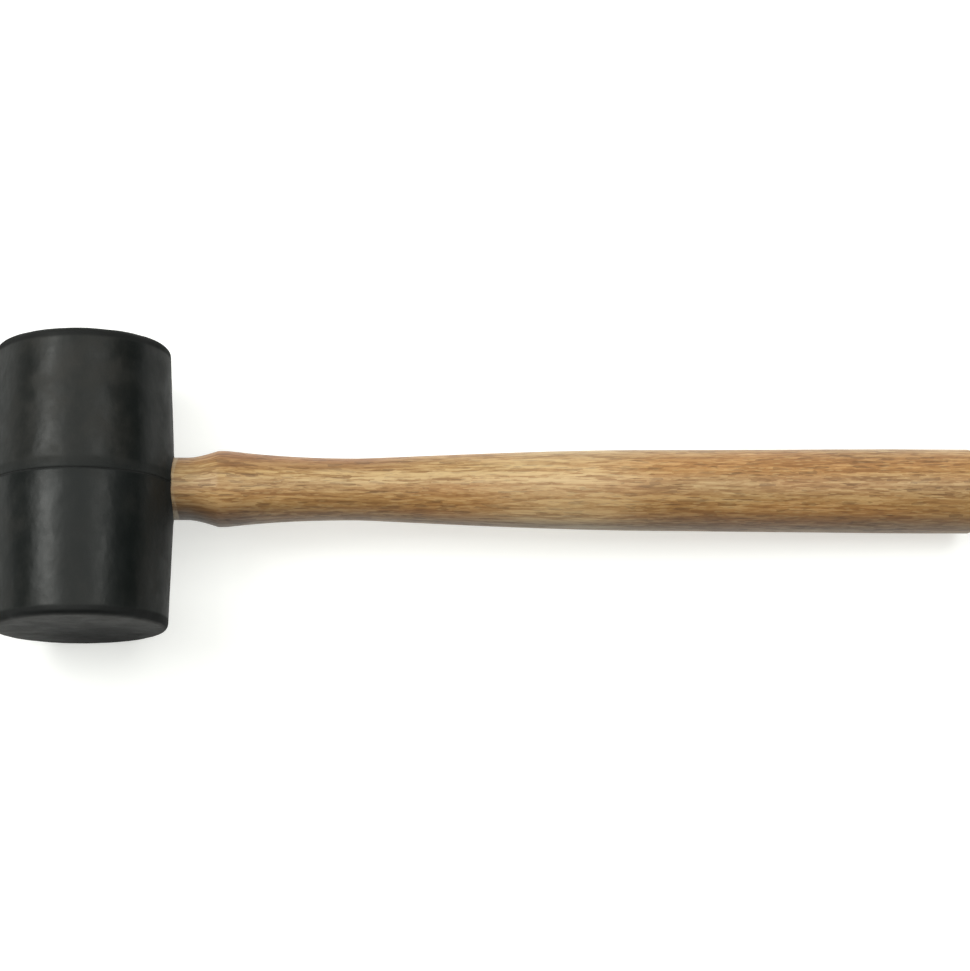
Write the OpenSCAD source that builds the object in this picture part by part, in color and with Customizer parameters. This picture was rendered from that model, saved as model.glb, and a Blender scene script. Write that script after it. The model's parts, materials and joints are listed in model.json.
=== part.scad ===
// Rubber mallet with a turned hardwood handle.
// The head is one solid rubber moulding, made in a two-part mould whose parting
// line runs round its middle. The handle's tenon passes right through the head's
// round eye, and is locked there by a hardwood wedge and two steel step wedges.
//
// Frame: the mallet lies at rest. +Z is up, the head's axis lies along Y, and the
// handle points along +X, sloping down until the edge of its butt touches the
// surface. The origin is on that surface, below the middle of the whole tool.

/* [Head] */
// Diameter over the parting line, flash included
head_d = 70; // [62:1:80]
// Diameter at the striking faces, measured without the rounded edge
face_d = 65.6; // [60:0.2:70]
// Length from one striking face to the other
head_len = 107.2; // [90:0.2:130]
// Rounding of the edge round each striking face
edge_r = 2.4; // [1:0.1:4]
// Height of the trimmed flash that stands on the parting line
flash_h = 0.25; // [0.1:0.05:0.6]
// Width of the trimmed flash at its root
flash_w = 0.9; // [0.5:0.1:2]

/* [Eye and tenon] */
// Diameter of the eye, and of the tenon that fills it
eye_d = 23.6; // [20:0.1:25]
// How far the tenon stands proud of the head
tenon_proud = 1; // [0.5:0.1:3]
// Chamfer round the end of the tenon
tenon_chamfer = 0.8; // [0.3:0.1:1.5]

/* [Handle] */
// Distance from the head's axis to the end of the butt
handle_reach = 340; // [300:1:400]
// Diameter of the shoulder ridge in front of the head
ridge_d = 28.7; // [26:0.1:30]
// Distance from the head's axis to the middle of the ridge
ridge_at = 52.6; // [50:0.2:60]
// Length of the ridge's level crest
ridge_flat = 3.8; // [2:0.2:6]
// Diameter of the waist
waist_d = 23.5; // [21:0.1:25]
// Distance from the head's axis to the waist
waist_at = 103; // [90:1:115]
// Diameter where the waist's flare meets the grip
swell_d = 31.2; // [28:0.1:32]
// Distance from the head's axis to where the grip starts
swell_at = 226; // [200:1:250]
// Diameter of the grip's straight end
grip_d = 32.6; // [32:0.1:34]
// Length of the grip's straight end, butt edge left out
grip_len = 29; // [20:1:60]
// Rounding of the butt's edge
butt_r = 1.2; // [0.5:0.1:4]
// Radius of the lathe's centre mark in the butt
centre_r = 1.9; // [1:0.1:3]

/* [Wedges] */
// Depth of the saw kerf in the tenon
kerf_depth = 46; // [40:1:55]
// Width of the saw kerf
kerf_w = 1.2; // [0.8:0.1:1.6]
// Depth of the hardwood wedge
wood_wedge_depth = 33; // [28:1:38]
// Thickness of the hardwood wedge at its head
wood_wedge_w = 3.6; // [3:0.1:5]
// Width of each steel wedge
steel_wedge_w = 12.5; // [10:0.5:14]
// Depth of each steel wedge
steel_wedge_depth = 18; // [14:1:22]
// Thickness of each steel wedge at its head
steel_wedge_t = 2.4; // [1.8:0.1:3]
// Distance of each steel wedge from the tenon's axis
steel_wedge_off = 5.2; // [4.5:0.1:6]
// How far the steel wedges are set below the tenon's end
steel_wedge_set = 0.4; // [0:0.1:1]

/* [Hidden] */
$fn = 96;

head_r = head_d / 2;
face_r = face_d / 2;
body_r = head_r - flash_h;
half_len = head_len / 2;
eye_r = eye_d / 2;
ridge_r = ridge_d / 2;
waist_r = waist_d / 2;
swell_r = swell_d / 2;
grip_r = grip_d / 2;
tenon_end = head_r + tenon_proud;
neck_end = head_r + 5;
ridge_a = ridge_at - ridge_flat / 2;
ridge_b = ridge_at + ridge_flat / 2;
straight_from = handle_reach - butt_r - grip_len;

// Lying at rest: the head stands on its flash and the butt on the end of its
// straight grip, so the handle slopes by this angle.
rest_a = handle_reach - butt_r;
slope = asin(head_r / sqrt(rest_a * rest_a + grip_r * grip_r)) - atan2(grip_r, rest_a);
// The whole tool's ends along X once it slopes, and the shift that centres it.
x_low = -tenon_end * cos(slope) - (eye_r - tenon_chamfer) * sin(slope);
x_high = rest_a * cos(slope) + (grip_r - butt_r) * sin(slope) + butt_r;
x_shift = -(x_low + x_high) / 2;

RUBBER = [0.19, 0.20, 0.20];
TIMBER = [0.71, 0.54, 0.36];
WEDGE = [0.80, 0.66, 0.46];
STEEL = [0.62, 0.62, 0.64];

// Points of a quarter turn of radius r about c, from angle a0 to a1.
function arc(c, r, a0, a1, n) =
    [for (i = [0:n]) c + r * [cos(a0 + (a1 - a0) * i / n), sin(a0 + (a1 - a0) * i / n)]];

// Half of the head's outline in [radius, distance along the axis], face to parting line.
head_half = concat(
    arc([face_r - edge_r, half_len - edge_r], edge_r, 90, 2.4, 8),
    [[body_r, flash_w / 2], [head_r, flash_w / 6]]
);

// Radius of the handle at distance t from the head's axis.
function flare_r(t) =
    let (u = (t - neck_end) / (ridge_a - neck_end))
    eye_r + (ridge_r - eye_r) * pow(u, 1.45);
function fall_r(t) =
    let (u = (t - ridge_b) / (waist_at - ridge_b))
    waist_r + (ridge_r - waist_r) * pow(max(0, 1 - u), 2.2);
function swell_rad(t) =
    let (u = (t - waist_at) / (swell_at - waist_at))
    waist_r + (swell_r - waist_r) * pow(sin(90 * u), 1.1);

function steps(a, b, n, first = 0) = [for (i = [first:n]) a + (b - a) * i / n];

handle_outline = concat(
    [[0, -tenon_end], [eye_r - tenon_chamfer, -tenon_end], [eye_r, -tenon_end + tenon_chamfer], [eye_r, neck_end]],
    [for (t = steps(neck_end, ridge_a, 10, 1)) [flare_r(t), t]],
    [[ridge_r + 0.05, ridge_at]],
    [for (t = steps(ridge_b, waist_at, 20)) [fall_r(t), t]],
    [for (t = steps(waist_at, swell_at, 26, 1)) [swell_rad(t), t]],
    [[grip_r, straight_from]],
    arc([grip_r - butt_r, handle_reach - butt_r], butt_r, 0, 90, 6),
    [[centre_r, handle_reach], [0, handle_reach - 1.2 * centre_r]]
);

// Stands the tool frame's +Z along the handle, which is +X.
module along_handle() rotate([0, 90, 0]) children();

// Lays the finished tool on the surface.
module at_rest() translate([x_shift, 0, head_r]) rotate([0, slope, 0]) children();

// The wooden material that fills the eye, before it is split by wedges.
module tenon_blank() along_handle() {
    translate([0, 0, -tenon_end + tenon_chamfer]) cylinder(h = tenon_end + neck_end - tenon_chamfer, r = eye_r);
    translate([0, 0, -tenon_end]) cylinder(h = tenon_chamfer, r1 = eye_r - tenon_chamfer, r2 = eye_r);
}

// The V that the hardwood wedge opens, across the whole tenon along the head's axis.
module wood_wedge_v(extra = 0) {
    translate([0, head_r, 0]) rotate([90, 0, 0]) linear_extrude(height = head_d)
        polygon([
            [-tenon_end - extra, -wood_wedge_w / 2], [-tenon_end - extra, wood_wedge_w / 2],
            [-tenon_end, wood_wedge_w / 2], [-tenon_end + wood_wedge_depth, kerf_w / 2],
            [-tenon_end + wood_wedge_depth, -kerf_w / 2], [-tenon_end, -wood_wedge_w / 2]
        ]);
}

// The parallel saw cut that stays open below the wedge's tip.
module saw_kerf() translate([-tenon_end, -head_r, -kerf_w / 2]) cube([kerf_depth, head_d, kerf_w]);

// One side of a step wedge: the thickness falls away in three barbed steps.
function wedge_side(s) = let (d = steel_wedge_depth, t = steel_wedge_t / 2) [
    [0, s * t], [0.30 * d, s * t * 0.86], [0.30 * d, s * t * 0.70],
    [0.60 * d, s * t * 0.60], [0.60 * d, s * t * 0.46], [0.90 * d, s * t * 0.34], [d, s * t * 0.12]
];

// A steel step wedge, driven from the tenon's end and turned a little off square.
module step_wedge(side, turn) {
    low = wedge_side(-1);
    translate([-tenon_end + steel_wedge_set, side * steel_wedge_off, 0]) rotate([turn, 0, 0])
        translate([0, 0, -steel_wedge_w / 2]) linear_extrude(height = steel_wedge_w)
            polygon(concat(wedge_side(1), [for (i = [len(low) - 1:-1:0]) low[i]]));
}

// The slot above a steel wedge, which was driven just below the end grain.
module wedge_set_slot(side, turn) {
    translate([-tenon_end - 1, side * steel_wedge_off, 0]) rotate([turn, 0, 0])
        translate([0, -steel_wedge_t / 2, -steel_wedge_w / 2]) cube([1 + steel_wedge_set, steel_wedge_t, steel_wedge_w]);
}

module steel_pair() {
    step_wedge(-1, 7);
    step_wedge(1, -5);
}

module slot_pair() {
    wedge_set_slot(-1, 7);
    wedge_set_slot(1, -5);
}

module rubber_head() color(RUBBER) at_rest() difference() {
    rotate([-90, 0, 0]) rotate_extrude() polygon(concat(
        [[0, half_len]], head_half,
        [for (i = [len(head_half) - 1:-1:0]) [head_half[i][0], -head_half[i][1]]],
        [[0, -half_len]]
    ));
    translate([-head_d, 0, 0]) along_handle() cylinder(h = 2 * head_d, r = eye_r);
}

module handle() color(TIMBER) at_rest() difference() {
    along_handle() rotate_extrude() polygon(handle_outline);
    wood_wedge_v(1);
    saw_kerf();
    steel_pair();
    slot_pair();
}

module wood_wedge() color(WEDGE) at_rest() difference() {
    intersection() {
        tenon_blank();
        wood_wedge_v();
    }
    steel_pair();
    slot_pair();
}

module steel_wedges() color(STEEL) at_rest() steel_pair();

rubber_head();
handle();
wood_wedge();
steel_wedges();
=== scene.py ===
"""Rubber mallet: detailed rubber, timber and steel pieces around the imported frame.

Lengths in the shape code are millimetres in the tool's own frame: X runs along the
handle from the head's centre, Y along the head's axis, Z up from both.
"""

import json
import math

import bmesh
import bpy
import numpy as np
from mathutils import Matrix, Vector, noise


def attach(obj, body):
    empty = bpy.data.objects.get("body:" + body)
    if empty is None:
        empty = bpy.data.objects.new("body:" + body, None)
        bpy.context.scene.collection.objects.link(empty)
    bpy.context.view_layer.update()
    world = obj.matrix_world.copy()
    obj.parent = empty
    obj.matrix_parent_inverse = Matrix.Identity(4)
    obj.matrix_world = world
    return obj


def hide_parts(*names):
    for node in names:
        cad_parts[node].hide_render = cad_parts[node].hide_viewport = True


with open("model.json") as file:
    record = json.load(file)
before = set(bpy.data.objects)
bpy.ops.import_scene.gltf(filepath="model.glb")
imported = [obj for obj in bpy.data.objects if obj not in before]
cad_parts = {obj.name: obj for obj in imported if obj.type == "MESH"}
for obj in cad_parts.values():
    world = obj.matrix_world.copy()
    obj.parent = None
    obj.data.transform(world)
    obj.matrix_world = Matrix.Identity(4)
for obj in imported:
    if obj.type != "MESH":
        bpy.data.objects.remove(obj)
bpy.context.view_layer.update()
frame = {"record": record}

record = frame["record"]
mounts = {m["name"]: m for m in record["mounts"]}

# ------------------------------------------------------------------ tool frame
rear = mounts["strike_face_rear"]
ALONG = Vector(mounts["grip_butt"]["axis"]).normalized()
SIDE = Vector((0.0, 1.0, 0.0))
ABOVE = ALONG.cross(SIDE).normalized()
CENTRE = Vector((rear["pos_m"][0], 0.0, rear["pos_m"][2]))
SLOPE = math.atan2(-ALONG.z, ALONG.x)
AXES = np.array([ALONG, SIDE, ABOVE], float)


def to_row(points):
    """Tool-frame millimetres to row-frame metres."""
    return np.asarray(points, float) @ AXES / 1000.0 + np.array(CENTRE, float)


# ------------------------------------------------------------------ dimensions
HALF_LEN = rear["pos_m"][1] * 1000.0
BODY_R = 34.75
CREST_R = 35.0
FACE_R = 32.8
EDGE_R = 2.4
EYE_R = 11.8
TENON_END = 36.0
CHAMFER = 0.8
NECK_END = 40.0
RIDGE_A, RIDGE_B, RIDGE_R = 50.7, 54.5, 14.35
WAIST_AT, WAIST_R = 103.0, 11.75
SWELL_AT, SWELL_R = 226.0, 15.6
STRAIGHT_FROM, GRIP_R = 309.8, 16.3
REACH, BUTT_R = 339.995, 1.2
CENTRE_MARK = 1.9
KERF_W, KERF_DEPTH = 1.2, 46.0
WEDGE_W, WEDGE_DEPTH = 3.6, 33.0
STEEL_W, STEEL_DEPTH, STEEL_T = 12.5, 18.0, 2.4
STEEL_OFF, STEEL_SET = 5.2, 0.4
STEEL_TURN = {-1: 7.0, 1: -5.0}


def fractal(p, size, octaves=2, seed=0.0):
    """Smooth noise from about -1 to 1 with features of the given size in mm."""
    v = Vector(p) / size + Vector((seed, seed * 0.7, -seed))
    return noise.fractal(v, 0.6, 2.0, octaves)


def smooth01(x):
    x = min(1.0, max(0.0, x))
    return x * x * (3 - 2 * x)


# ------------------------------------------------------------------ mesh helpers
def new_piece(name, verts_mm, faces, stands_for, sharp_deg=35.0):
    mesh = bpy.data.meshes.new(name)
    mesh.from_pydata([tuple(v) for v in to_row(verts_mm)], [], faces)
    return finish_piece(name, mesh, stands_for, sharp_deg)


def finish_piece(name, mesh, stands_for, sharp_deg=35.0):
    bm = bmesh.new()
    bm.from_mesh(mesh)
    bmesh.ops.remove_doubles(bm, verts=bm.verts, dist=1e-7)
    bmesh.ops.recalc_face_normals(bm, faces=bm.faces)
    bm.to_mesh(mesh)
    bm.free()
    mesh.shade_smooth()
    mesh.set_sharp_from_angle(angle=math.radians(sharp_deg))
    ob = bpy.data.objects.new(name, mesh)
    bpy.context.scene.collection.objects.link(ob)
    if stands_for:
        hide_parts(stands_for)
        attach(ob, "root")
    return ob


def cutter(verts_mm, faces):
    """A scratch solid for a boolean, removed after use."""
    mesh = bpy.data.meshes.new("cutter")
    mesh.from_pydata([tuple(v) for v in to_row(verts_mm)], [], faces)
    bm = bmesh.new()
    bm.from_mesh(mesh)
    bmesh.ops.recalc_face_normals(bm, faces=bm.faces)
    bm.to_mesh(mesh)
    bm.free()
    ob = bpy.data.objects.new("cutter", mesh)
    bpy.context.scene.collection.objects.link(ob)
    return ob


def apply_booleans(ob, steps):
    for operation, tool in steps:
        mod = ob.modifiers.new("cut", "BOOLEAN")
        mod.operation = operation
        mod.solver = "EXACT"
        mod.object = tool
    bpy.context.view_layer.update()
    dg = bpy.context.evaluated_depsgraph_get()
    mesh = bpy.data.meshes.new_from_object(ob.evaluated_get(dg))
    old = ob.data
    ob.modifiers.clear()
    ob.data = mesh
    bpy.data.meshes.remove(old)
    for tool in {t for _, t in steps}:
        bpy.data.objects.remove(tool, do_unlink=True)


def prism(outline, axis_low, axis_high, place):
    """Faces and verts of an outline swept between two offsets; place(a, b, c) maps to XYZ."""
    n = len(outline)
    verts = [place(a, b, axis_low) for a, b in outline] + [
        place(a, b, axis_high) for a, b in outline
    ]
    faces = [list(range(n))[::-1], list(range(n, 2 * n))]
    faces += [[i, (i + 1) % n, n + (i + 1) % n, n + i] for i in range(n)]
    return verts, faces


# ------------------------------------------------------------------ rubber head
def barrel_r(y):
    """Barrel radius before the rounded edge: two drafted halves, a low swell where
    the mould halves met, and a trimmed flash line on its crest."""
    a = abs(y)
    r = BODY_R + (a - 0.45) * (FACE_R - 0.002 - BODY_R) / (HALF_LEN - 2.3 - 0.45)
    r += 0.17 * math.exp(-((y / 2.3) ** 2))
    r += 0.06 * math.exp(-((abs(y) / 0.50) ** 2))
    r -= 0.16 * math.exp(-(((y - 0.05) / 0.20) ** 2))
    return min(r, CREST_R)


DENTS = []


def make_dents():
    """Listed shallow knocks on the two faces: side, angle, distance, radius, depth."""
    for side, turn, out, size, deep in [
        (-1, 20, 12, 4.0, 0.22), (-1, 75, 21, 2.6, 0.20), (-1, 130, 8, 5.0, 0.16),
        (-1, 160, 25, 2.2, 0.22), (-1, 205, 17, 3.2, 0.24), (-1, 250, 27, 2.4, 0.18),
        (-1, 300, 13, 2.0, 0.20), (-1, 338, 24, 3.4, 0.20), (-1, 95, 28, 1.8, 0.20),
        (1, 35, 16, 3.6, 0.20), (1, 80, 26, 2.4, 0.22), (1, 140, 12, 4.4, 0.18),
        (1, 190, 23, 2.6, 0.22), (1, 240, 9, 3.0, 0.20), (1, 285, 22, 2.2, 0.18),
        (1, 325, 27, 3.0, 0.22),
    ]:
        a = math.radians(turn)
        DENTS.append((side, out * math.cos(a), out * math.sin(a), size, deep))


def face_dent(side, x, z):
    d = 0.0
    for s, cx, cz, size, deep in DENTS:
        if s == side:
            q = ((x - cx) ** 2 + (z - cz) ** 2) / (size * size)
            if q < 6:
                d += deep * math.exp(-q * 1.6)
    return d


def head_offset(p, n, side_face=0.0):
    """Inward-only unevenness of the moulding at p, in mm along the normal."""
    d = 0.055 * (fractal(p, 16, 2, 3.1) - 1.0)
    d += 0.018 * (fractal(p, 5, 2, 9.7) - 1.0)
    return d


def eye_lip(y, z):
    """Height of the low lip the rubber makes round the neck; none at the parting line,
    where the barrel is already at its widest."""
    high = smooth01((abs(z) - 1.0) / 10.5)
    return (0.03 + 0.85 * high) * math.exp(-((max(0.0, math.hypot(y, z) - EYE_R - 0.8) / 1.9) ** 2))


def build_head():
    make_dents()
    turns = 240
    half = [0.0, 0.07, 0.14, 0.21, 0.29, 0.38, 0.5, 0.65, 0.85, 1.1, 1.4, 1.75, 2.2, 2.7, 3.3, 4.0, 4.9, 6.0]
    while half[-1] < HALF_LEN - EDGE_R - 1.2:
        half.append(half[-1] + 1.45)
    ys_half = half[:-1] + [HALF_LEN - EDGE_R - 0.35]
    rows = [-y for y in ys_half[:0:-1]] + ys_half
    mid = len(ys_half) - 1
    z_steps = 24
    # the block of rows and columns round each eye
    row_block = min(range(len(ys_half)), key=lambda i: abs(ys_half[i] - 19.5))
    lo_row, hi_row = mid - row_block, mid + row_block
    verts, faces = [], []
    index = {}

    def column_angle(i):
        return 2 * math.pi * i / turns

    def surface_point(i, j):
        a, y = column_angle(i), rows[j]
        r = barrel_r(y)
        n = Vector((math.cos(a), 0.0, math.sin(a)))
        p = Vector((r * n.x, y, r * n.z))
        return p + n * head_offset(p, n)

    def grid(i, j):
        i %= turns
        key = (i, j)
        if key not in index:
            index[key] = len(verts)
            verts.append(surface_point(i, j))
        return index[key]

    def in_block(i, j):
        """True if the cell whose low corner is (i, j) lies in an eye's block."""
        if not (lo_row <= j < hi_row):
            return False
        for centre in (0, turns // 2):
            d = (i - centre + turns // 2) % turns - turns // 2
            if -z_steps <= d < z_steps:
                return True
        return False

    for i in range(turns):
        for j in range(len(rows) - 1):
            if not in_block(i, j):
                faces.append([grid(i, j), grid(i + 1, j), grid(i + 1, j + 1), grid(i, j + 1)])

    def block_loop(sign):
        """Grid keys round one block, in the same (y, z) order for both eyes."""
        def col(k):  # k from -z_steps to z_steps, z rising
            return k if sign > 0 else turns // 2 - k
        keys = [(col(k), hi_row) for k in range(-z_steps, z_steps)]
        keys += [(col(z_steps), j) for j in range(hi_row, lo_row, -1)]
        keys += [(col(k), lo_row) for k in range(z_steps, -z_steps, -1)]
        keys += [(col(-z_steps), j) for j in range(lo_row, hi_row)]
        return keys

    rim = 0.55
    rings = 11
    eye_loops = []
    for sign in (1, -1):
        keys = block_loop(sign)
        outer = [grid(*k) for k in keys]
        outer_p = [verts[v].copy() for v in outer]
        loops = [outer]
        for ring in range(rings - 1, -1, -1):
            t = (ring / rings) ** 1.35
            loop = []
            for p in outer_p:
                turn = math.atan2(p.z, p.y)
                c = Vector(((EYE_R + rim) * math.cos(turn), (EYE_R + rim) * math.sin(turn)))
                y, z = c.x * (1 - t) + p.y * t, c.y * (1 - t) + p.z * t
                r = barrel_r(y)
                q = Vector((sign * math.sqrt(r * r - z * z), y, z))
                n = Vector((q.x, 0, q.z)).normalized()
                fade = smooth01(t * 3)
                lip = eye_lip(y, z)
                q += n * (head_offset(q, n) * (0.35 + 0.65 * fade) + lip * (1 - fade))
                loop.append(len(verts))
                verts.append(q)
            loops.append(loop)
        base = [verts[v].copy() for v in loops[-1]]
        for step in range(1, 7):
            b = math.radians(90 * step / 6)
            loop = []
            for q in base:
                turn = math.atan2(q.z, q.y)
                rho = EYE_R + rim - rim * math.sin(b)
                y, z = rho * math.cos(turn), rho * math.sin(turn)
                x = math.sqrt(barrel_r(y) ** 2 - z * z) - 0.03
                lip = abs(q.x) - math.sqrt(barrel_r(q.y) ** 2 - q.z * q.z)
                x += (lip + 0.03) * (1 - 0.2 * step / 6) - rim * (1 - math.cos(b))
                loop.append(len(verts))
                verts.append(Vector((sign * x, y, z)))
            loops.append(loop)
        for a, b in zip(loops, loops[1:]):
            n = len(a)
            for k in range(n):
                faces.append([a[k], a[(k + 1) % n], b[(k + 1) % n], b[k]])
        eye_loops.append(loops[-1])

    front, back = eye_loops
    n = len(front)
    previous = front
    for step in range(1, 13):
        t = step / 12
        if step == 12:
            loop = back
        else:
            loop = []
            for k in range(n):
                loop.append(len(verts))
                verts.append(verts[front[k]].lerp(verts[back[k]], t))
        for k in range(n):
            faces.append([previous[k], previous[(k + 1) % n], loop[(k + 1) % n], loop[k]])
        previous = loop

    # rounded edges and the two faces
    for side, row in ((-1, 0), (1, len(rows) - 1)):
        last = [grid(i, row) for i in range(turns)]
        y0 = HALF_LEN - EDGE_R
        profile = []
        for step in range(1, 11):
            b = math.radians(2.4 + (90 - 2.4) * step / 10)
            profile.append((FACE_R - EDGE_R + EDGE_R * math.cos(b), y0 + EDGE_R * math.sin(b)))
        out = FACE_R - EDGE_R
        for step in range(1, 20):
            profile.append((out * (1 - step / 20) ** 1.0, HALF_LEN))
        for k, (r, y) in enumerate(profile):
            loop = []
            for i in range(turns):
                a = column_angle(i)
                x, z = r * math.cos(a), r * math.sin(a)
                p = Vector((x, side * y, z))
                worn = smooth01((FACE_R + 0.6 - r) / 2.4)
                sink = 0.10 * (1 - (r / FACE_R) ** 2) + face_dent(side, x, z)
                sink += 0.05 * (1.0 - fractal(p, 7, 3, 5.5 + side)) * worn
                rim_worn = 0.16 * max(0.0, fractal(p, 9, 2, 1.3)) * math.exp(-(((r - 31.6) / 1.4) ** 2))
                rad = Vector((math.cos(a), 0, math.sin(a)))
                p += rad * (head_offset(p, rad) - rim_worn) * (1 - worn)
                p.y -= side * (sink * worn + rim_worn)
                loop.append(len(verts))
                verts.append(p)
            for i in range(turns):
                faces.append([last[i], last[(i + 1) % turns], loop[(i + 1) % turns], loop[i]])
            last = loop
        c = len(verts)
        verts.append(Vector((0, side * (HALF_LEN - 0.10 - face_dent(side, 0, 0)), 0)))
        for i in range(turns):
            faces.append([last[i], last[(i + 1) % turns], c])
    return new_piece("rubber_head_moulding", verts, faces, "rubber_head", 40)


# ------------------------------------------------------------------ turned handle
def raw_handle_r(t):
    if t <= NECK_END:
        return EYE_R
    if t <= RIDGE_A:
        u = (t - NECK_END) / (RIDGE_A - NECK_END)
        return EYE_R + (RIDGE_R - EYE_R) * u**1.45
    if t <= RIDGE_B:
        u = (t - RIDGE_A) / (RIDGE_B - RIDGE_A)
        return RIDGE_R + 0.05 * math.sin(math.pi * u)
    if t <= WAIST_AT:
        u = (t - RIDGE_B) / (WAIST_AT - RIDGE_B)
        return WAIST_R + (RIDGE_R - WAIST_R) * (1 - u) ** 2.2
    if t <= SWELL_AT:
        u = (t - WAIST_AT) / (SWELL_AT - WAIST_AT)
        return WAIST_R + (SWELL_R - WAIST_R) * math.sin(math.pi / 2 * u) ** 1.1
    if t <= STRAIGHT_FROM:
        u = (t - SWELL_AT) / (STRAIGHT_FROM - SWELL_AT)
        return SWELL_R + (GRIP_R - SWELL_R) * u
    return GRIP_R


def handle_r(t):
    """The turned outline with its corners eased by sanding."""
    if t < 38 or t > 325:
        return raw_handle_r(t)
    width = 0.7 if t < 62 else 3.0
    total = weight = 0.0
    for k in range(-4, 5):
        w = math.exp(-(k / 2.0) ** 2)
        total += w * raw_handle_r(t + k * width / 2.5)
        weight += w
    return total / weight


def build_handle():
    around = 144
    stations = [(-TENON_END, EYE_R - CHAMFER), (-TENON_END + 0.12, EYE_R - CHAMFER + 0.22),
                (-TENON_END + CHAMFER - 0.15, EYE_R - 0.12), (-TENON_END + CHAMFER + 0.1, EYE_R)]
    t = -TENON_END + CHAMFER + 1.0
    while t < 30:
        stations.append((t, EYE_R))
        t += 2.4
    t = 30.0
    while t < REACH - BUTT_R - 0.4:
        stations.append((t, handle_r(t)))
        t += 0.6 if t < 64 else 1.05
    for step in range(0, 9):
        b = math.radians(90 * step / 8)
        stations.append((REACH - BUTT_R + BUTT_R * math.sin(b), GRIP_R - BUTT_R + BUTT_R * math.cos(b)))
    # butt end: sanded face with the lathe centre's cone and its ring
    for r in (13.6, 12.4, 11, 9.5, 8, 6.6, 5.4, 4.9, 4.55, 4.3, 4.05, 3.7, 3.2, 2.6, 2.1):
        stations.append((REACH - 0.22 * math.exp(-(((r - 4.3) / 0.28) ** 2)), r))
    stations += [(REACH - 0.03, CENTRE_MARK), (REACH - 0.35, 1.62), (REACH - 1.2, 0.92), (REACH - 2.0, 0.25)]
    # tenon end: flat, sawn; the inner rings let the saw marks show
    start = [(-TENON_END + 0.06, r) for r in (9.6, 8.0, 6.2, 4.2, 2.0)][::-1]
    stations = start + stations
    verts, faces = [], []
    for t, r in stations:
        end_face = t < -TENON_END + 0.1 or t > REACH - 0.5
        inside = -TENON_END + 3 < t < 32
        for i in range(around):
            a = 2 * math.pi * i / around
            y, z = r * math.cos(a), r * math.sin(a)
            x = t
            if not inside and not end_face and t > 32:
                p = Vector((t * 0.25, y, z))
                d = 0.035 * (fractal(p, 9, 2, 4.2) - 1.0) + 0.012 * (fractal(Vector((t, y * 0.2, z * 0.2)), 1.6, 1, 2.2) - 1.0)
                k = 1 if t > 37 else (t - 32) / 5
                y += d * k * math.cos(a)
                z += d * k * math.sin(a)
            if t < -TENON_END + 0.1:
                x += 0.05 * (1 + math.sin(z * 5.2 + 0.8 * math.sin(y * 0.7))) * min(1, (EYE_R - CHAMFER + 0.1 - r) * 2)
            verts.append(Vector((x, y, z)))
    for s in range(len(stations) - 1):
        for i in range(around):
            j = (i + 1) % around
            faces.append([s * around + i, s * around + j, (s + 1) * around + j, (s + 1) * around + i])
    first, last = len(verts), len(verts) + 1
    verts.append(Vector((-TENON_END + 0.06, 0, 0)))
    verts.append(Vector((REACH - 2.2, 0, 0)))
    base = (len(stations) - 1) * around
    for i in range(around):
        j = (i + 1) % around
        faces.append([first, j, i])
        faces.append([last, base + i, base + j])
    ob = new_piece("handle_turned", verts, faces, "handle", 32)
    steps = [("DIFFERENCE", cutter(*kerf_and_v(0.0, 1.0, True)))]
    for side in (-1, 1):
        steps.append(("DIFFERENCE", cutter(*steel_solid(side, 1.0, 0.0))))
    apply_booleans(ob, steps)
    ob.data.shade_smooth()
    ob.data.set_sharp_from_angle(angle=math.radians(32))
    return ob


def kerf_and_v(grow, extra, with_kerf):
    """The wedge's V, and below its tip the open saw kerf, right across the tenon."""
    e = -TENON_END
    w, k = WEDGE_W / 2 + grow, KERF_W / 2 + grow
    outline = [(e - extra, -w), (e - extra, w), (e, w), (e + WEDGE_DEPTH, k)]
    if with_kerf:
        outline += [(e + KERF_DEPTH, k), (e + KERF_DEPTH, -k)]
    outline += [(e + WEDGE_DEPTH, -k), (e, -w)]
    if extra == 0:
        outline = outline[2:]
    return prism(outline, -20.0, 20.0, lambda a, b, c: (a, c, b))


def wedge_outline(extra):
    d, t = STEEL_DEPTH, STEEL_T / 2
    side = [(0, t), (0.30 * d, t * 0.86), (0.30 * d, t * 0.70), (0.60 * d, t * 0.60),
            (0.60 * d, t * 0.46), (0.90 * d, t * 0.34), (d, t * 0.12)]
    if extra:
        side = [(-STEEL_SET - extra, t)] + side
    return side + [(a, -b) for a, b in side[::-1]]


def steel_place(side):
    turn = math.radians(STEEL_TURN[side])

    def place(a, b, c):
        y = b * math.cos(turn) - c * math.sin(turn)
        z = b * math.sin(turn) + c * math.cos(turn)
        return (-TENON_END + STEEL_SET + a, side * STEEL_OFF + y, z)

    return place


def steel_solid(side, extra, grow):
    return prism(wedge_outline(extra), -STEEL_W / 2 - grow, STEEL_W / 2 + grow, steel_place(side))


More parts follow.
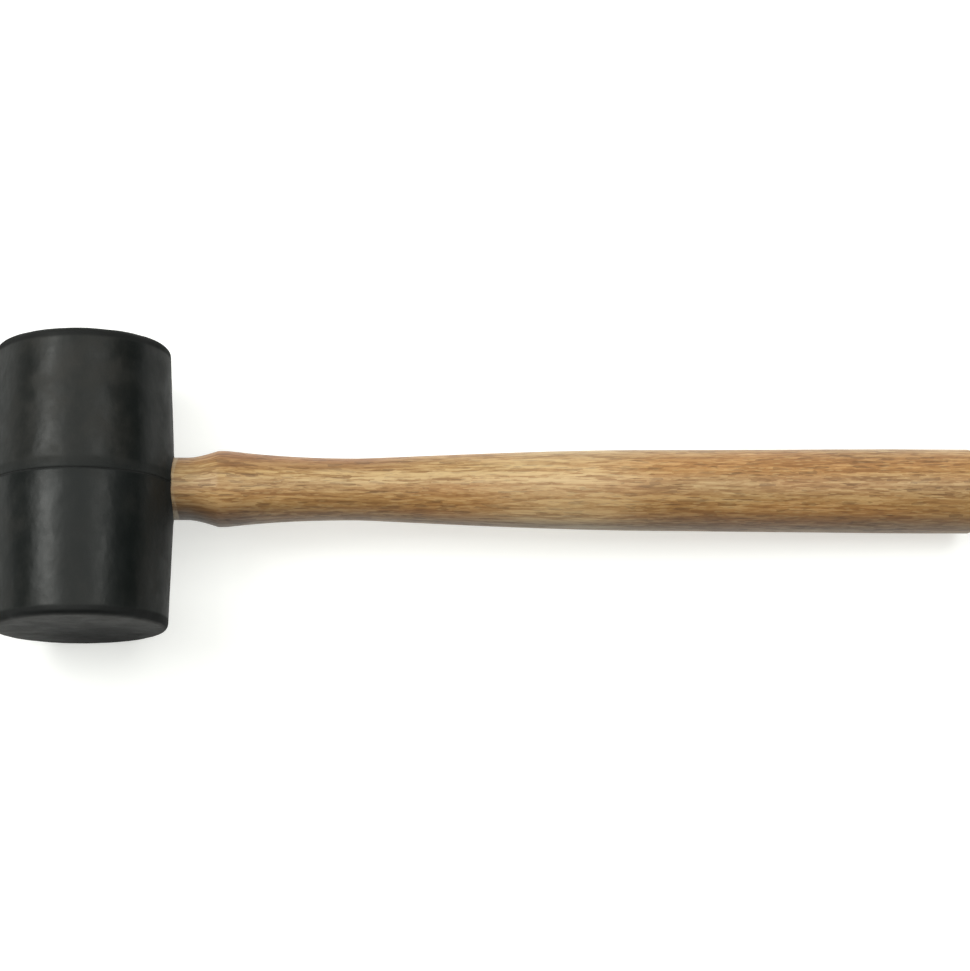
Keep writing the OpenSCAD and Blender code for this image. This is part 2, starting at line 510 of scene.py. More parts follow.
# ------------------------------------------------------------------ wedges
def build_wood_wedge():
    """A sawn taper split from straight stock, driven in and cut off with the tenon."""
    e = -TENON_END
    nx, ny, nz = 24, 40, 8
    verts, faces = [], []
    index = {}

    def point(i, j, k):
        key = (i, j, k)
        if key not in index:
            u, v, w = i / nx, j / ny * 2 - 1, k / nz * 2 - 1
            thick = (WEDGE_W / 2) * (1 - u) + (KERF_W / 2) * u
            x = e + WEDGE_DEPTH * u
            y, z = v * 14.0, w * thick
            if i == 0:
                x += 0.03 * (1 + math.sin(z * 5.2 + 0.6 + 0.8 * math.sin(y * 0.7)))
            index[key] = len(verts)
            verts.append(Vector((x, y, z)))
        return index[key]

    for i in (0, nx):
        for j in range(ny):
            for k in range(nz):
                faces.append([point(i, j, k), point(i, j + 1, k), point(i, j + 1, k + 1), point(i, j, k + 1)])
    for j in (0, ny):
        for i in range(nx):
            for k in range(nz):
                faces.append([point(i, j, k), point(i + 1, j, k), point(i + 1, j, k + 1), point(i, j, k + 1)])
    for k in (0, nz):
        for i in range(nx):
            for j in range(ny):
                faces.append([point(i, j, k), point(i + 1, j, k), point(i + 1, j + 1, k), point(i, j + 1, k)])
    ob = new_piece("wood_wedge_driven", verts, faces, "wood_wedge", 30)
    around = 144
    outline = [(EYE_R - CHAMFER - 0.02, -TENON_END - 2), (EYE_R - CHAMFER - 0.02, -TENON_END), (EYE_R - 0.02, -TENON_END + CHAMFER), (EYE_R - 0.02, 20)]
    vs, fs = [], []
    for r, x in outline:
        for i in range(around):
            a = 2 * math.pi * i / around
            vs.append((x, r * math.cos(a), r * math.sin(a)))
    for s in range(len(outline) - 1):
        for i in range(around):
            j = (i + 1) % around
            fs.append([s * around + i, s * around + j, (s + 1) * around + j, (s + 1) * around + i])
    fs.append(list(range(around))[::-1])
    fs.append([3 * around + i for i in range(around)])
    steps = [("INTERSECT", cutter(vs, fs))]
    for side in (-1, 1):
        steps.append(("DIFFERENCE", cutter(*steel_solid(side, 1.5, 0.0))))
    apply_booleans(ob, steps)
    ob.data.shade_smooth()
    ob.data.set_sharp_from_angle(angle=math.radians(30))
    return ob


def build_steel_wedges():
    """Two stamped step wedges with hammered heads and slightly rounded edges."""
    points, polys = [], []
    for side in (-1, 1):
        bm = bmesh.new()
        vs, fs = prism(wedge_outline(0), -STEEL_W / 2, STEEL_W / 2, lambda a, b, c: (a, b, c))
        made = [bm.verts.new(v) for v in vs]
        for f in fs:
            bm.faces.new([made[i] for i in f])
        bmesh.ops.recalc_face_normals(bm, faces=bm.faces)
        bmesh.ops.bevel(bm, geom=list(bm.edges), offset=0.12, segments=2, profile=0.6, affect="EDGES")
        # strips across the head, so that the hammer marks have something to shape
        for k in range(1, 26):
            cut = -STEEL_W / 2 + STEEL_W * k / 26
            bmesh.ops.bisect_plane(bm, geom=bm.verts[:] + bm.edges[:] + bm.faces[:], plane_co=(0, 0, cut), plane_no=(0, 0, 1))
        for k in range(-2, 3):
            bmesh.ops.bisect_plane(bm, geom=bm.verts[:] + bm.edges[:] + bm.faces[:], plane_co=(0, k * 0.4, 0), plane_no=(0, 1, 0))
        place = steel_place(side)
        bm.verts.index_update()
        start = len(points)
        for v in bm.verts:
            a, b, c = v.co
            if a < 0.2:
                knock = 0.16 * max(0.0, fractal((b * 0.8, c * 0.8, side * 3.0), 1.7, 2, 6.0))
                a += (knock + 0.10 * (abs(c) / 6.25) ** 3) * (1 - a / 0.2)
            points.append(Vector(place(a, b, c)))
        for f in bm.faces:
            polys.append([start + v.index for v in f.verts])
        bm.free()
    return new_piece("steel_wedges_driven", points, polys, "steel_wedges", 30)


head = build_head()
handle = build_handle()
wood_wedge = build_wood_wedge()
steel = build_steel_wedges()


# ------------------------------------------------------------------ material helpers
class Nodes:
    """A short hand for building one material's node tree."""

    def __init__(self, name):
        self.mat = bpy.data.materials.new(name)
        self.mat.use_nodes = True
        self.tree = self.mat.node_tree
        self.tree.nodes.clear()
        self.out = self.tree.nodes.new("ShaderNodeOutputMaterial")
        self.bsdf = self.tree.nodes.new("ShaderNodeBsdfPrincipled")
        self.tree.links.new(self.bsdf.outputs[0], self.out.inputs["Surface"])
        coord = self.tree.nodes.new("ShaderNodeTexCoord")
        place = self.tree.nodes.new("ShaderNodeMapping")
        place.vector_type = "TEXTURE"
        place.inputs["Location"].default_value = CENTRE
        place.inputs["Rotation"].default_value = (0.0, SLOPE, 0.0)
        place.inputs["Scale"].default_value = (0.001, 0.001, 0.001)
        self.tree.links.new(coord.outputs["Object"], place.inputs["Vector"])
        self.mm = place.outputs["Vector"]  # the tool's frame, in millimetres
        split = self.tree.nodes.new("ShaderNodeSeparateXYZ")
        self.tree.links.new(self.mm, split.inputs[0])
        self.x, self.y, self.z = split.outputs

    def put(self, socket, value):
        if isinstance(value, bpy.types.NodeSocket):
            self.tree.links.new(value, socket)
        elif value is not None:
            socket.default_value = value

    def follow(self, radius, x0, x1):
        """Coordinates whose grain keeps to the turned surface between two stations, as if
        that length had the given radius; returns the plain ones, to be put back."""
        plain = self.mm, self.y, self.z
        k = self.math("SUBTRACT", self.math("DIVIDE", radius, self.radius(self.y, self.z)), 1.0)
        inside = self.math("MULTIPLY", self.band(self.x, x0, x0 + 2.0), self.band(self.x, x1 + 0.5, x1 - 0.5))
        k = self.math("ADD", self.math("MULTIPLY", k, inside), 1.0)
        self.y, self.z = self.math("MULTIPLY", self.y, k), self.math("MULTIPLY", self.z, k)
        n = self.tree.nodes.new("ShaderNodeCombineXYZ")
        for socket, v in zip(n.inputs, (self.x, self.y, self.z)):
            self.put(socket, v)
        self.mm = n.outputs[0]
        return plain

    def math(self, op, a, b=None, c=None, clamp=False):
        n = self.tree.nodes.new("ShaderNodeMath")
        n.operation = op
        n.use_clamp = clamp
        for socket, v in zip(n.inputs, (a, b, c)):
            self.put(socket, v)
        return n.outputs[0]

    def stretch(self, sx, sy, sz, move=(0, 0, 0), of=None):
        n = self.tree.nodes.new("ShaderNodeVectorMath")
        n.operation = "MULTIPLY_ADD"
        self.put(n.inputs[0], of or self.mm)
        n.inputs[1].default_value = (sx, sy, sz)
        n.inputs[2].default_value = move
        return n.outputs[0]

    def noise(self, vector, scale=1.0, detail=3.0, rough=0.5, distort=0.0):
        n = self.tree.nodes.new("ShaderNodeTexNoise")
        self.put(n.inputs["Vector"], vector)
        n.inputs["Scale"].default_value = scale
        n.inputs["Detail"].default_value = detail
        n.inputs["Roughness"].default_value = rough
        n.inputs["Distortion"].default_value = distort
        return n.outputs["Fac"]

    def cells(self, vector, scale=1.0, feature="F1"):
        n = self.tree.nodes.new("ShaderNodeTexVoronoi")
        n.feature = feature
        self.put(n.inputs["Vector"], vector)
        n.inputs["Scale"].default_value = scale
        return n.outputs["Distance"]

    def cell_tone(self, vector, scale=1.0, metric="EUCLIDEAN"):
        """One random value from 0 to 1 for each cell."""
        n = self.tree.nodes.new("ShaderNodeTexVoronoi")
        n.distance = metric
        self.put(n.inputs["Vector"], vector)
        n.inputs["Scale"].default_value = scale
        split = self.tree.nodes.new("ShaderNodeSeparateXYZ")
        self.tree.links.new(n.outputs["Color"], split.inputs[0])
        return split.outputs[0]

    def band(self, value, low, high, out_low=0.0, out_high=1.0, smooth=True):
        n = self.tree.nodes.new("ShaderNodeMapRange")
        n.interpolation_type = "SMOOTHSTEP" if smooth else "LINEAR"
        self.put(n.inputs["Value"], value)
        n.inputs["From Min"].default_value = low
        n.inputs["From Max"].default_value = high
        self.put(n.inputs["To Min"], out_low)
        self.put(n.inputs["To Max"], out_high)
        return n.outputs["Result"]

    def mix(self, fac, a, b, blend="MIX"):
        n = self.tree.nodes.new("ShaderNodeMix")
        n.data_type = "RGBA"
        n.blend_type = blend
        self.put(n.inputs[0], fac)
        self.put(n.inputs[6], tuple(a) + (1.0,) if isinstance(a, (tuple, list)) else a)
        self.put(n.inputs[7], tuple(b) + (1.0,) if isinstance(b, (tuple, list)) else b)
        return n.outputs[2]

    def radius(self, a, b):
        return self.math("SQRT", self.math("ADD", self.math("MULTIPLY", a, a), self.math("MULTIPLY", b, b)))

    def bump(self, height, distance_mm, strength=1.0, normal=None):
        n = self.tree.nodes.new("ShaderNodeBump")
        n.inputs["Strength"].default_value = strength
        n.inputs["Distance"].default_value = distance_mm / 1000.0
        self.put(n.inputs["Height"], height)
        self.put(n.inputs["Normal"], normal)
        return n.outputs["Normal"]

    def set(self, name, value):
        self.put(self.bsdf.inputs[name], value)


def rubber_material():
    m = Nodes("moulded_rubber")
    radial = m.radius(m.x, m.z)
    across = m.math("ABSOLUTE", m.y)
    on_face = m.math("MULTIPLY", m.band(across, HALF_LEN - 0.9, HALF_LEN - 0.45), m.band(radial, 33.2, 30.6))
    # pale bloom and handling dust, heavier on the rear half and on top of the barrel
    broad = m.noise(m.stretch(1, 1, 1, (4.0, 11.0, 2.0)), 0.045, 3, 0.55)
    patch = m.noise(m.stretch(1, 1, 1, (31.0, 5.0, 17.0)), 0.11, 4, 0.6)
    mottle = m.noise(m.mm, 0.55, 4, 0.65)
    dust = m.math("MULTIPLY", m.band(broad, 0.38, 0.66), m.band(patch, 0.30, 0.72))
    rear = m.math("MULTIPLY", m.band(m.y, -1.0, 5.0), m.band(m.z, 17.0, 30.0, 0.10, 1.0))
    rear = m.math("MULTIPLY", rear, m.band(m.x, 24.0, 13.0, 0.05, 1.0))
    zone = m.math("ADD", m.math("MULTIPLY", rear, 0.55), m.math("MULTIPLY", dust, 0.55), clamp=True)
    zone = m.math("MULTIPLY", zone, m.band(mottle, 0.20, 0.75, 0.80, 1.0))
    smear = m.noise(m.stretch(0.34, 0.20, 0.34, (2, 9, 4)), 0.5, 3, 0.6)
    zone = m.math("MULTIPLY", zone, m.band(smear, 0.30, 0.62, 0.60, 1.0))
    worn = m.noise(m.stretch(1, 1, 1, (6, 15, 3)), 0.085, 3, 0.6)
    zone = m.math("MULTIPLY", zone, m.band(worn, 0.36, 0.60, 0.62, 1.12), clamp=True)
    base = m.mix(m.band(broad, 0.35, 0.7), (0.0046, 0.0062, 0.0058), (0.0056, 0.0070, 0.0064))
    colour = m.mix(m.math("MULTIPLY", zone, 0.55), base, (0.0262, 0.0240, 0.0205))
    # light speckle of grit pressed into the skin
    speck = m.band(m.cells(m.mm, 1.1), 0.10, 0.03)
    colour = m.mix(m.math("MULTIPLY", speck, 0.10), colour, (0.050, 0.049, 0.045))
    # scuffed, dustier striking faces, with painted light added toward their rims on the side away from the handle
    scuff = m.noise(m.stretch(1, 1, 1, (7, 3, 9)), 0.11, 4, 0.58, 0.4)
    scratch = m.noise(m.stretch(0.25, 1, 2.2, (1, 0, 3)), 0.8, 3, 0.6)
    face_scuff_and_light = m.math("MULTIPLY", on_face, m.band(scuff, 0.30, 0.68, 0.25, 1.0))
    blotch = m.noise(m.stretch(1, 1, 1, (3, 1, 12)), 0.20, 3, 0.6)
    face_scuff_and_light = m.math("MULTIPLY", face_scuff_and_light, m.band(blotch, 0.40, 0.60, 0.45, 1.0))
    # painted light: lighter toward the side of each face away from the handle
    face_scuff_and_light = m.math("ADD", face_scuff_and_light, m.math("MULTIPLY", on_face, m.band(m.x, -8.0, -30.0, 0.0, 0.55)), clamp=True)
    colour = m.mix(m.math("MULTIPLY", face_scuff_and_light, 0.75), colour, (0.0175, 0.0178, 0.0165))
    # painted light on the faces: lighter toward the top, low on the side away from the handle and on the side toward
    # it, broken up by blotches
    painted_face_light = m.math("MULTIPLY", m.band(m.z, 1.0, 17.0), 0.75)
    painted_face_light = m.math("ADD", painted_face_light, m.math("MULTIPLY", m.band(m.x, -5.0, -28.0), m.band(m.z, 14.0, -8.0)))
    painted_face_light = m.math("ADD", painted_face_light, m.math("MULTIPLY", m.band(m.x, 18.0, 30.0), 0.40), clamp=True)
    painted_face_light = m.math("MULTIPLY", painted_face_light, m.band(blotch, 0.34, 0.60, 0.55, 1.0))
    colour = m.mix(m.math("MULTIPLY", painted_face_light, on_face), colour, (0.0335, 0.0335, 0.0312))
    # painted shade: a darker, rougher patch low on each face, a little toward the handle
    painted_low_shade = m.radius(m.math("SUBTRACT", m.x, 7.0), m.math("ADD", m.z, 16.0))
    painted_low_shade = m.math("MULTIPLY", m.band(painted_low_shade, 25.0, 8.0), on_face)
    colour = m.mix(m.math("MULTIPLY", painted_low_shade, 0.8), colour, (0.0040, 0.0045, 0.0043))
    colour = m.mix(m.math("MULTIPLY", m.math("MULTIPLY", on_face, m.band(scratch, 0.62, 0.72)), 0.22), colour, (0.030, 0.030, 0.028))
    # rubbed rounded edges
    edge = m.math("MULTIPLY", m.band(across, HALF_LEN - 2.6, HALF_LEN - 1.2), m.band(across, HALF_LEN + 0.2, HALF_LEN - 0.5))
    edge = m.math("MULTIPLY", edge, m.band(patch, 0.42, 0.68))
    colour = m.mix(m.math("MULTIPLY", edge, 0.22), colour, (0.022, 0.022, 0.020))
    # painted shade: the rounded shoulder round each face is darker
    painted_shoulder_shade = m.math("MULTIPLY", m.band(across, HALF_LEN - 3.9, HALF_LEN - 2.9), m.math("SUBTRACT", 1.0, on_face))
    colour = m.mix(m.math("MULTIPLY", painted_shoulder_shade, 0.7), colour, (0.0030, 0.0036, 0.0036))
    # painted shade: a dark line in the groove of the parting line
    painted_seam_shade = m.band(m.math("ABSOLUTE", m.math("SUBTRACT", m.y, 0.05)), 0.42, 0.16)
    on_barrel = m.band(radial, 33.0, 33.8)
    painted_seam_shade = m.math("MULTIPLY", painted_seam_shade, on_barrel)
    colour = m.mix(m.math("MULTIPLY", painted_seam_shade, 0.75), colour, (0.0030, 0.0032, 0.0031))
    m.set("Base Color", colour)
    # matt faces, duller flanks, and a dull band where the rear half meets the line
    flank = m.band(m.math("ABSOLUTE", m.z), 28.0, 13.0)
    beside = m.math("MULTIPLY", m.band(m.y, 0.3, 1.0), m.band(m.y, 5.2, 3.4))
    rough = m.math("ADD", m.band(zone, 0.0, 0.9, 0.31, 0.43), m.math("MULTIPLY", on_face, 0.42))
    rough = m.math("ADD", rough, m.math("MULTIPLY", flank, m.math("SUBTRACT", 0.29, m.math("MULTIPLY", on_face, 0.29))))
    rough = m.math("ADD", rough, m.math("MULTIPLY", beside, 0.16))
    shoulder = m.math("MULTIPLY", m.band(across, HALF_LEN - 4.3, HALF_LEN - 3.0), m.math("SUBTRACT", 1.0, on_face))
    rough = m.math("ADD", rough, m.math("MULTIPLY", shoulder, 0.26))
    crease = m.band(m.math("ABSOLUTE", m.math("SUBTRACT", m.y, 0.05)), 0.9, 0.4)
    rough = m.math("ADD", rough, m.math("MULTIPLY", crease, 0.28))
    rough = m.math("ADD", rough, m.band(patch, 0.32, 0.68, -0.035, 0.06))
    rough = m.math("ADD", rough, m.math("MULTIPLY", painted_low_shade, 0.16), clamp=True)
    m.set("Roughness", rough)
    m.bsdf.inputs["Specular IOR Level"].default_value = 0.19
    # mould texture: fine peel, slow ripple, pits
    peel = m.noise(m.mm, 1.3, 3, 0.55)
    ripple = m.noise(m.stretch(1, 0.7, 1), 0.15, 2, 0.5)
    wave = m.noise(m.stretch(1, 0.8, 1, (5, 5, 5)), 0.075, 1, 0.5)
    pits = m.band(m.cells(m.stretch(1, 1, 1, (13, 2, 5)), 0.55), 0.13, 0.02)
    high = m.math("ADD", m.math("MULTIPLY", ripple, 1.7), m.math("MULTIPLY", peel, 0.12))
    high = m.math("ADD", high, m.math("MULTIPLY", wave, 2.5))
    high = m.math("SUBTRACT", high, m.math("MULTIPLY", pits, 0.10))
    high = m.math("SUBTRACT", high, m.math("MULTIPLY", m.math("MULTIPLY", on_face, m.band(scratch, 0.58, 0.70)), 0.25))
    m.set("Normal", m.bump(high, 0.16, 0.8))
    return m.mat


def timber_colour(m, light, mid, dark, pore, pith, spacing, tight=1.0):
    """Growth rings round an off-centre pith, streaks, flecks and open pores along X."""
    warp = m.noise(m.stretch(0.010, 0.05, 0.05, (3, 7, 1)), 1.0, 2, 0.5)
    warp = m.math("MULTIPLY", m.math("SUBTRACT", warp, 0.5), 9.0)
    lean = m.math("MULTIPLY", m.x, 0.020)
    ring_y = m.math("SUBTRACT", m.math("ADD", m.y, lean), pith[0])
    ring_z = m.math("SUBTRACT", m.z, pith[1])
    depth = m.math("ADD", m.radius(ring_y, ring_z), warp)
    part = m.math("FRACT", m.math("DIVIDE", depth, spacing))
    late = m.math("MULTIPLY", m.band(part, 0.25, 0.92), m.band(part, 1.0, 0.95))
    early = m.math("ADD", m.band(part, 0.36, 0.05), m.band(part, 0.93, 1.0), clamp=True)
    broad = m.noise(m.stretch(0.012, 0.10, 0.10, (9, 4, 2)), 1.0, 3, 0.55)
    streak = m.noise(m.stretch(0.030, 0.55, 0.55, (1, 8, 5)), tight, 4, 0.66)
    fine = m.noise(m.stretch(0.16, 1.25, 1.25, (5, 2, 7)), tight, 3, 0.64)
    tone = m.math("ADD", m.math("MULTIPLY", m.math("SUBTRACT", broad, 0.5), 0.95), m.math("MULTIPLY", m.math("SUBTRACT", streak, 0.5), 1.5))
    tone = m.math("ADD", tone, m.math("MULTIPLY", m.math("SUBTRACT", fine, 0.5), 1.05))
    # short straight bundles of fibre, each of its own tone
    bundle = m.cell_tone(m.stretch(0.115, 1.2, 1.2, (8, 5, 2)), tight, "CHEBYCHEV")
    thread = m.cell_tone(m.stretch(0.21, 1.8, 1.8, (1, 7, 6)), tight, "CHEBYCHEV")
    tone = m.math("ADD", tone, m.math("MULTIPLY", m.math("SUBTRACT", bundle, 0.5), 0.72))
    tone = m.math("ADD", tone, m.math("MULTIPLY", m.math("SUBTRACT", thread, 0.5), 0.40))
    tone = m.math("ADD", tone, m.math("MULTIPLY", m.math("SUBTRACT", late, 0.4), 0.30))
    colour = m.mix(m.band(tone, -0.60, 0.05), light, mid)
    colour = m.mix(m.band(tone, 0.0, 0.62), colour, dark)
    # the hue drifts between honey and a redder brown
    hue = m.noise(m.stretch(0.009, 0.06, 0.06, (6, 1, 13)), 1.0, 2, 0.5)
    colour = m.mix(1.0, colour, m.mix(m.band(hue, 0.36, 0.64), (0.99, 1.015, 1.06), (1.06, 0.945, 0.90)), "MULTIPLY")
    # pale flecks where rays reach the surface
    fleck = m.band(m.cells(m.stretch(0.19, 0.95, 0.95, (2, 6, 3)), tight), 0.36, 0.20)
    colour = m.mix(m.math("MULTIPLY", fleck, 0.50), colour, light)
    # a few darker, shorter dashes
    dash = m.band(m.cell_tone(m.stretch(0.19, 1.05, 1.05, (11, 3, 9)), tight, "CHEBYCHEV"), 0.90, 0.93)
    colour = m.mix(m.math("MULTIPLY", dash, 0.42), colour, pore)
    # open pores: drawn-out dashes on the side grain, dots on the end grain
    near = m.math("MULTIPLY", early, 0.10)
    long_one = m.math("SUBTRACT", m.cells(m.stretch(0.085, 0.95, 0.95, (17, 3, 11)), tight), near)
    short_one = m.math("SUBTRACT", m.cells(m.stretch(0.170, 1.35, 1.35, (4, 19, 8)), tight), near)
    patchy = m.noise(m.stretch(0.03, 0.20, 0.20, (7, 7, 2)), 1.0, 2, 0.5)
    patchy = m.band(patchy, 0.35, 0.60, 0.35, 1.0)
    pores = m.math("MAXIMUM", m.band(long_one, 0.25, 0.12), m.math("MULTIPLY", m.band(short_one, 0.27, 0.13), 0.75))
    pores = m.math("MULTIPLY", pores, patchy)
    colour = m.mix(m.math("MULTIPLY", pores, 0.66), colour, pore)
    return colour, pores, tone, late


def timber_material():
    m = Nodes("varnished_hardwood")
    plain = m.follow(12.72, 26.0, 70.0)
    colour, pores, tone, late = timber_colour(
        m, (0.470, 0.300, 0.125), (0.345, 0.190, 0.065), (0.235, 0.118, 0.037), (0.115, 0.052, 0.017), (46.0, 22.0), 2.7
    )
    m.mm, m.y, m.z = plain
    # painted highlight: a straight pale streak along the top, and painted shade underneath
    shifted = m.math("ADD", m.y, m.band(m.x, 95.0, 50.0, 0.0, 2.6))
    crest = m.math("MULTIPLY", m.band(shifted, -1.6, 0.4), m.band(shifted, 6.6, 3.4))
    crest = m.math("MULTIPLY", crest, m.band(m.z, 4.0, 9.0))
    crest = m.math("MULTIPLY", crest, m.math("MULTIPLY", m.band(m.x, 44, 120, 0.22, 1.0), m.band(m.x, 222, 185)))
    crest = m.math("MULTIPLY", crest, m.band(tone, 0.35, -0.25, 0.20, 1.0))
    colour = m.mix(m.math("MULTIPLY", crest, 0.42), colour, (0.66, 0.49, 0.265))
    # a paler length of wood where the waist opens into the grip
    glow = m.math("MULTIPLY", m.band(m.x, 136, 170), m.band(m.x, 222, 188))
    glow = m.math("MULTIPLY", glow, m.band(tone, 0.50, -0.35, 0.40, 1.0))
    colour = m.mix(m.math("MULTIPLY", glow, 0.40), colour, (0.64, 0.485, 0.265))
    # painted shade: the upper rear side of the ridge and waist darker
    painted_rear_shade = m.math("MULTIPLY", m.band(m.y, 3.6, 6.6), m.band(m.z, 0.0, 5.0))
    painted_rear_shade = m.math("MULTIPLY", painted_rear_shade, m.math("MULTIPLY", m.band(m.x, 44, 56), m.band(m.x, 132, 108)))
    colour = m.mix(painted_rear_shade, colour, m.mix(1.0, colour, (0.76, 0.66, 0.60), "MULTIPLY"))
    # painted shade: the lower front side darker, half as much where it faces straight down
    lower = m.math("ADD", m.z, m.math("MULTIPLY", m.y, 0.45))
    painted_underside_shade = m.math("MULTIPLY", m.band(lower, 4.6, -4.6), m.band(m.z, -13.0, -6.0, 0.5, 1.0))
    colour = m.mix(painted_underside_shade, colour, m.mix(1.0, colour, (0.46, 0.48, 0.52), "MULTIPLY"))
    # painted shade: a darker band low on the front, except along the paler length
    painted_front_shade = m.math("MULTIPLY", m.band(lower, 8.5, 3.0), m.band(lower, -5.0, 1.5))
    painted_front_shade = m.math("MULTIPLY", painted_front_shade, m.math("ADD", m.band(m.x, 162, 135, 0.0, 0.50), m.band(m.x, 190, 226)))
    colour = m.mix(painted_front_shade, colour, m.mix(1.0, colour, (0.63, 0.61, 0.60), "MULTIPLY"))
    # painted shadow of the head on the lower side of the neck
    painted_neck_shadow = m.math("MULTIPLY", m.band(m.x, 78.0, 56.0), m.band(lower, 12.0, 1.0))
    colour = m.mix(painted_neck_shadow, colour, m.mix(1.0, colour, (0.56, 0.54, 0.58), "MULTIPLY"))
    # painted shadow of the head: wood next to the rubber darker, most on its lower side
    painted_head_shadow = m.band(m.x, 54.0, 38.0)
    colour = m.mix(painted_head_shadow, colour, m.mix(1.0, colour, (0.84, 0.87, 0.92), "MULTIPLY"))
    painted_head_shadow = m.math("MULTIPLY", painted_head_shadow, m.band(lower, 8.0, -2.0))
    colour = m.mix(painted_head_shadow, colour, m.mix(1.0, colour, (0.68, 0.74, 0.84), "MULTIPLY"))
    # sawn end of the tenon: bare, dry and dark with handling
    end = m.band(m.x, -TENON_END + 0.7, -TENON_END + 0.2)
    butt = m.band(m.x, REACH - 0.9, REACH - 0.35)
    grime = m.noise(m.mm, 0.35, 4, 0.6)
    colour = m.mix(m.math("MULTIPLY", end, m.band(grime, 0.3, 0.7, 0.35, 0.75)), colour, (0.135, 0.085, 0.042))
    colour = m.mix(m.math("MULTIPLY", butt, m.band(grime, 0.3, 0.7, 0.15, 0.50)), colour, (0.165, 0.105, 0.052))
    # a pale, broken line on the wood where the neck enters the rubber
    hug = m.math("SUBTRACT", m.x, m.math("SQRT", m.math("SUBTRACT", BODY_R * BODY_R, m.math("MULTIPLY", m.z, m.z))))
    pale = m.math("MULTIPLY", m.band(hug, 2.0, 1.3), m.band(hug, -1.6, -1.2))
    pale = m.math("MULTIPLY", pale, m.band(m.noise(m.mm, 0.30, 3, 0.6), 0.36, 0.60, 0.25, 1.0))
    colour = m.mix(m.math("MULTIPLY", pale, 0.45), colour, (0.46, 0.38, 0.26))
    # a little hand grime on the grip and along the ridge
    hold = m.math("MULTIPLY", m.band(m.x, 180, 260), m.band(grime, 0.52, 0.75))
    colour = m.mix(m.math("MULTIPLY", hold, 0.10), colour, (0.105, 0.060, 0.028))
    m.set("Base Color", colour)
    rough = m.math("ADD", m.band(tone, -0.6, 0.7, 0.40, 0.50), m.math("MULTIPLY", pores, 0.18))
    rough = m.math("ADD", rough, m.math("MULTIPLY", m.math("ADD", end, butt, clamp=True), 0.25))
    m.set("Roughness", rough)
    m.bsdf.inputs["Specular IOR Level"].default_value = 0.36
    m.bsdf.inputs["Coat Roughness"].default_value = 0.32
    m.bsdf.inputs["Coat Weight"].default_value = 0.08
    fibres = m.noise(m.stretch(0.08, 2.4, 2.4, (2, 2, 9)), 1.0, 3, 0.6)
    turned = m.noise(m.stretch(1.6, 0.02, 0.02), 1.0, 2, 0.5)
    high = m.math("SUBTRACT", m.math("MULTIPLY", fibres, 0.35), m.math("MULTIPLY", pores, 0.9))
    high = m.math("ADD", high, m.math("MULTIPLY", turned, 0.12))
    m.set("Normal", m.bump(high, 0.09, 0.7))
    return m.mat


def wedge_timber_material():
    m = Nodes("bare_wedge_wood")
    colour, pores, tone, late = timber_colour(
        m, (0.40, 0.29, 0.165), (0.32, 0.215, 0.110), (0.245, 0.150, 0.070), (0.13, 0.070, 0.032), (-22.0, 14.0), 1.7, 1.4
    )
    grime = m.noise(m.mm, 0.5, 4, 0.6)
    end = m.band(m.x, -TENON_END + 0.7, -TENON_END + 0.2)
    colour = m.mix(m.math("MULTIPLY", end, m.band(grime, 0.3, 0.7, 0.10, 0.50)), colour, (0.155, 0.100, 0.055))
    m.set("Base Color", colour)
    m.set("Roughness", m.band(grime, 0.3, 0.7, 0.62, 0.78))
    fibres = m.noise(m.stretch(0.2, 2.8, 2.8), 1.0, 3, 0.6)
    m.set("Normal", m.bump(m.math("SUBTRACT", fibres, pores), 0.10, 0.7))
    return m.mat


def steel_material():
    m = Nodes("stamped_steel")
    stain = m.noise(m.mm, 0.45, 5, 0.65)
    fine = m.noise(m.stretch(1, 1, 6), 0.9, 3, 0.6)
    colour = m.mix(m.band(fine, 0.3, 0.7), (0.26, 0.26, 0.265), (0.36, 0.357, 0.352))
    rust = m.band(stain, 0.56, 0.72)
    colour = m.mix(m.math("MULTIPLY", rust, 0.65), colour, (0.110, 0.060, 0.032))
    m.set("Base Color", colour)
    m.set("Metallic", m.band(rust, 0.0, 1.0, 1.0, 0.35))
    m.set("Roughness", m.math("ADD", m.band(fine, 0.3, 0.7, 0.34, 0.46), m.math("MULTIPLY", rust, 0.28)))
    m.set("Normal", m.bump(m.math("ADD", fine, m.math("MULTIPLY", stain, 0.8)), 0.05, 0.7))
    return m.mat


for piece, material in (
    (head, rubber_material()),
    (handle, timber_material()),
    (wood_wedge, wedge_timber_material()),
    (steel, steel_material()),
):
    piece.data.materials.clear()
    piece.data.materials.append(material)

# ------------------------------------------------------------------ floor, light, camera
floor_mesh = bpy.data.meshes.new("studio_floor")
floor_mesh.from_pydata([(-6, -6, 0), (6, -6, 0), (6, 6, 0), (-6, 6, 0)], [], [(0, 1, 2, 3)])
floor = bpy.data.objects.new("studio_floor", floor_mesh)
bpy.context.scene.collection.objects.link(floor)
floor.location.z = -0.0001
floor_mat = bpy.data.materials.new("pale_paper")
floor_mat.use_nodes = True
floor_bsdf = floor_mat.node_tree.nodes["Principled BSDF"]
floor_bsdf.inputs["Base Color"].default_value = (0.64, 0.64, 0.64, 1.0)
floor_bsdf.inputs["Emission Color"].default_value = (0.99, 1.0, 0.965, 1.0)
floor_bsdf.inputs["Emission Strength"].default_value = 0.55
floor_bsdf.inputs["Roughness"].default_value = 0.9
floor_bsdf.inputs["Specular IOR Level"].default_value = 0.1
floor_mesh.materials.append(floor_mat)

world = bpy.data.worlds.new("studio")
world.use_nodes = True
world.node_tree.nodes["Background"].inputs["Color"].default_value = (1.0, 1.0, 1.0, 1.0)
world.node_tree.nodes["Background"].inputs["Strength"].default_value = 0.08
bpy.context.scene.world = world
bpy.context.scene.view_settings.view_transform = "Standard"
bpy.context.scene.view_settings.look = "None"
bpy.context.scene.view_settings.exposure = 0.0
bpy.context.scene.view_settings.gamma = 1.0


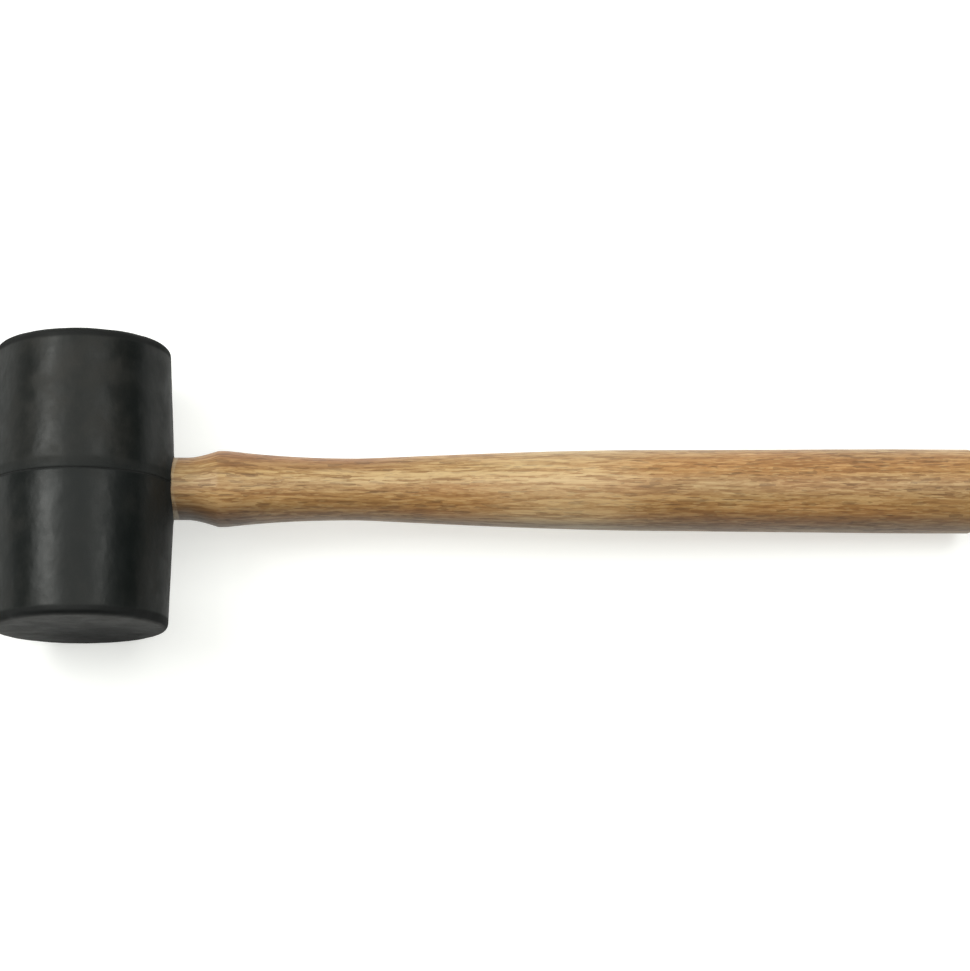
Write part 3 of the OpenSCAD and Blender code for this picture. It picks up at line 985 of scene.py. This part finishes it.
def softbox(name, at, aim, width, height, radiance, colour=(0.985, 1.0, 0.958)):
    """A rectangular lamp whose face shows the given radiance."""
    data = bpy.data.lights.new(name, "AREA")
    data.shape = "RECTANGLE"
    data.size, data.size_y = width, height
    data.energy = radiance * 4.0 * width * height
    data.color = colour
    ob = bpy.data.objects.new(name, data)
    bpy.context.scene.collection.objects.link(ob)
    ob.location = at
    ob.rotation_mode = "QUATERNION"
    ob.rotation_quaternion = (Vector(at) - Vector(aim)).to_track_quat("Z", "Y")
    return ob


hx = CENTRE.x


def overhead(name, x0, x1, y0, y1, radiance, height=1.30):
    """A level softbox seen from the head between the given angles, in degrees from the
    zenith: x toward the grip, y toward the rear face."""
    drop = height - CENTRE.z
    x0, x1, y0, y1 = (drop * math.tan(math.radians(a)) for a in (x0, x1, y0, y1))
    at = (hx + (x0 + x1) / 2, (y0 + y1) / 2, height)
    return softbox(name, at, (at[0], at[1], 0.0), x1 - x0, y1 - y0, radiance)


overhead("key_left", -44, -29, -1, 28.5, 7.4)
overhead("wide_left", -52, -18, -4, 46, 2.2, 1.34)
overhead("strip_right", 27, 37, 6.2, 15, 6.3)
overhead("spot_right", 27, 37, -7, 1, 3.4)
overhead("mid_right", 16, 32, 16, 31, 2.1)
overhead("ceiling", -22, 40, -20, 31, 1.42, 1.36)
overhead("fill_right", 42, 60, -28, 3, 1.1)
softbox("back_wall", (0.0, 2.0, 0.75), (0.0, 0.0, 0.05), 4.0, 1.3, 0.75)
softbox("left_wall", (hx - 2.3, 0.2, 0.55), (hx, 0.2, 0.05), 2.2, 1.0, 0.32)

cam_data = bpy.data.cameras.new("camera")
cam = bpy.data.objects.new("camera", cam_data)
bpy.context.scene.collection.objects.link(cam)
bpy.context.scene.camera = cam
cam_data.sensor_width = 36.0
FOCAL_PX, DISTANCE = 2500.0, 0.97764
cam_data.lens = FOCAL_PX * 36.0 / 971.0
roll = math.radians(-0.519)
back = Vector((-0.04281, -0.23384, 1.0)).normalized()
right = (Vector((1, 0, 0)) - back * back.x).normalized()
up = back.cross(right)
right, up = right * math.cos(roll) + up * math.sin(roll), -right * math.sin(roll) + up * math.cos(roll)
target = Vector((CENTRE.x + 0.15255, 0.00794, 0.0))
cam.matrix_world = Matrix((
    (right.x, up.x, back.x, 0), (right.y, up.y, back.y, 0), (right.z, up.z, back.z, 0), (0, 0, 0, 1)
))
cam.location = target + back * DISTANCE
cam_data.clip_start, cam_data.clip_end = 0.05, 30.0

bpy.context.view_layer.update()
